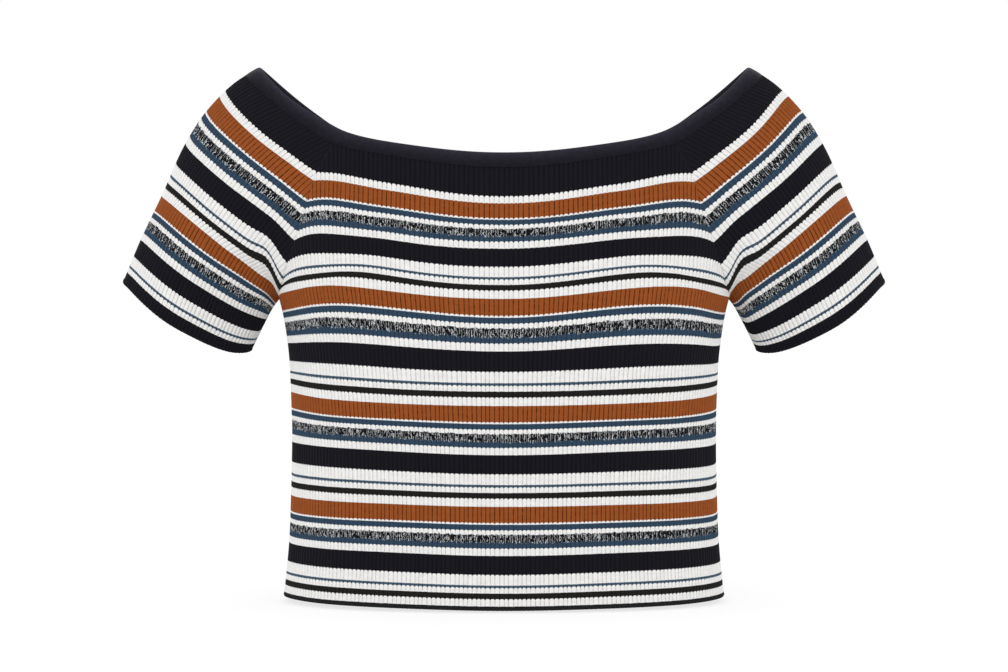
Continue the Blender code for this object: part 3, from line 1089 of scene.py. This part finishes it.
SLEEVE_CREASES = {
    1: (
        ((-47, 64), (-43, 92), 4.5, 1.5, 1.5),
        ((-41, 68), (-36, 101), 5.5, -1.0, 2.0),
        ((-48, 96), (-39, 112), 6.0, 0.8, 2.0),
        ((-30, 20), (-24, 52), 8.0, 0.5, -3.0),
        ((49, 72), (40, 94), 5.5, 1.4, -2.5),
        ((44, 98), (33, 108), 6.5, 0.8, -3.0),
        ((38, 50), (30, 66), 6.0, 0.6, 2.0),
        ((-50, 110), (-49, 128), 6.0, 0.7, 0.0),
    ),
    -1: (
        ((-48, 68), (-44, 86), 4.0, 1.1, 1.0),
        ((-43, 72), (-39, 92), 5.0, -0.7, 1.5),
        ((-47, 92), (-37, 104), 6.0, 0.6, 2.5),
        ((-26, 30), (-22, 56), 7.5, 0.4, -2.0),
        ((50, 74), (38, 90), 5.0, 1.2, -3.0),
        ((43, 92), (35, 112), 6.5, 0.9, -2.0),
        ((34, 44), (28, 58), 6.0, 0.5, 2.0),
        ((-49, 112), (-50, 126), 6.0, 0.6, 0.0),
    ),
}


# ---------------------------------------------------------------- the studio
CAMERA_DISTANCE = 1.85
CAMERA_HEIGHT = -0.173
LENS_MM = 91.8
SENSOR_MM = 36.0
HEM_HEIGHT = -0.3620
FLOOR_GAP = 0.001
FLOOR_SIZE = 60.0
FLOOR_GREY = 0.34
FLOOR_ROUGHNESS = 0.9
FLOOR_GLOW = 0.7
LAMP_PLACE = (-0.15, -1.0, 0.45)
LAMP_POWER = 0.45
LAMP_ANGLE = 60


def make_camera():
    camera = bpy.data.objects.new("camera", bpy.data.cameras.new("camera"))
    camera.data.lens = LENS_MM
    camera.data.sensor_width = SENSOR_MM
    camera.location = (0.0, -CAMERA_DISTANCE, CAMERA_HEIGHT)
    camera.rotation_euler = (radians(90), 0.0, 0.0)
    bpy.context.scene.collection.objects.link(camera)
    bpy.context.scene.camera = camera


def make_lamp():
    """A wide soft lamp that shines from its place towards the garment."""
    light = bpy.data.lights.new("front lamp", "SUN")
    light.energy = LAMP_POWER
    light.angle = radians(LAMP_ANGLE)
    lamp = bpy.data.objects.new("front lamp", light)
    lamp.rotation_euler = Vector(LAMP_PLACE).to_track_quat("Z", "Y").to_euler()
    bpy.context.scene.collection.objects.link(lamp)


def make_studio():
    """A plain pale light table just under the hem, an even white surround and a soft lamp."""
    bpy.ops.mesh.primitive_plane_add(size=FLOOR_SIZE, location=(0, 0, HEM_HEIGHT - FLOOR_GAP))
    floor = bpy.context.object
    floor.name = "floor"
    paper = Nodes("pale floor")
    paper.shader.inputs["Base Color"].default_value = (FLOOR_GREY, FLOOR_GREY, FLOOR_GREY, 1.0)
    paper.shader.inputs["Roughness"].default_value = FLOOR_ROUGHNESS
    paper.shader.inputs["Specular IOR Level"].default_value = 0.0
    paper.shader.inputs["Emission Color"].default_value = (1.0, 1.0, 1.0, 1.0)
    paper.shader.inputs["Emission Strength"].default_value = FLOOR_GLOW
    floor.data.materials.append(paper.material)
    world = bpy.data.worlds.new("studio")
    bpy.context.scene.world = world
    world.use_nodes = True
    surround = world.node_tree.nodes["Background"]
    surround.inputs["Color"].default_value = (1.0, 1.0, 1.0, 1.0)
    surround.inputs["Strength"].default_value = 1.0
    make_lamp()
    bpy.context.scene.view_settings.view_transform = "Standard"


# ---------------------------------------------------------------- the garment
body_knit = striped_rib("striped body rib", HEM_EDGE_COURSE, "charcoal")
sleeve_knit = striped_rib("striped sleeve rib", CUFF_BAND_COURSE, "navy")
# Each piece, the node that it stands for, its slot, its flat size and its area in metres
pieces = (
    (body_panel("front", body_knit, FRONT_CREASES),
     "front", "striped_rib", (0.38, 0.318), 0.108),
    (body_panel("back", body_knit, BACK_CREASES),
     "back", "striped_rib", (0.38, 0.318), 0.108),
    (sleeve_panel(1, sleeve_knit, SLEEVE_CREASES[1]),
     "sleeve_left", "striped_rib", (0.32, 0.175), 0.045),
    (sleeve_panel(-1, sleeve_knit, SLEEVE_CREASES[-1]),
     "sleeve_right", "striped_rib", (0.32, 0.175), 0.045),
    (neckband(band_knit()),
     "neckband", "navy_band", (0.84, 0.021), None),
)
for piece, node, slot, flat, area in pieces:
    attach(piece, "root")
    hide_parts(node)

make_camera()
make_studio()
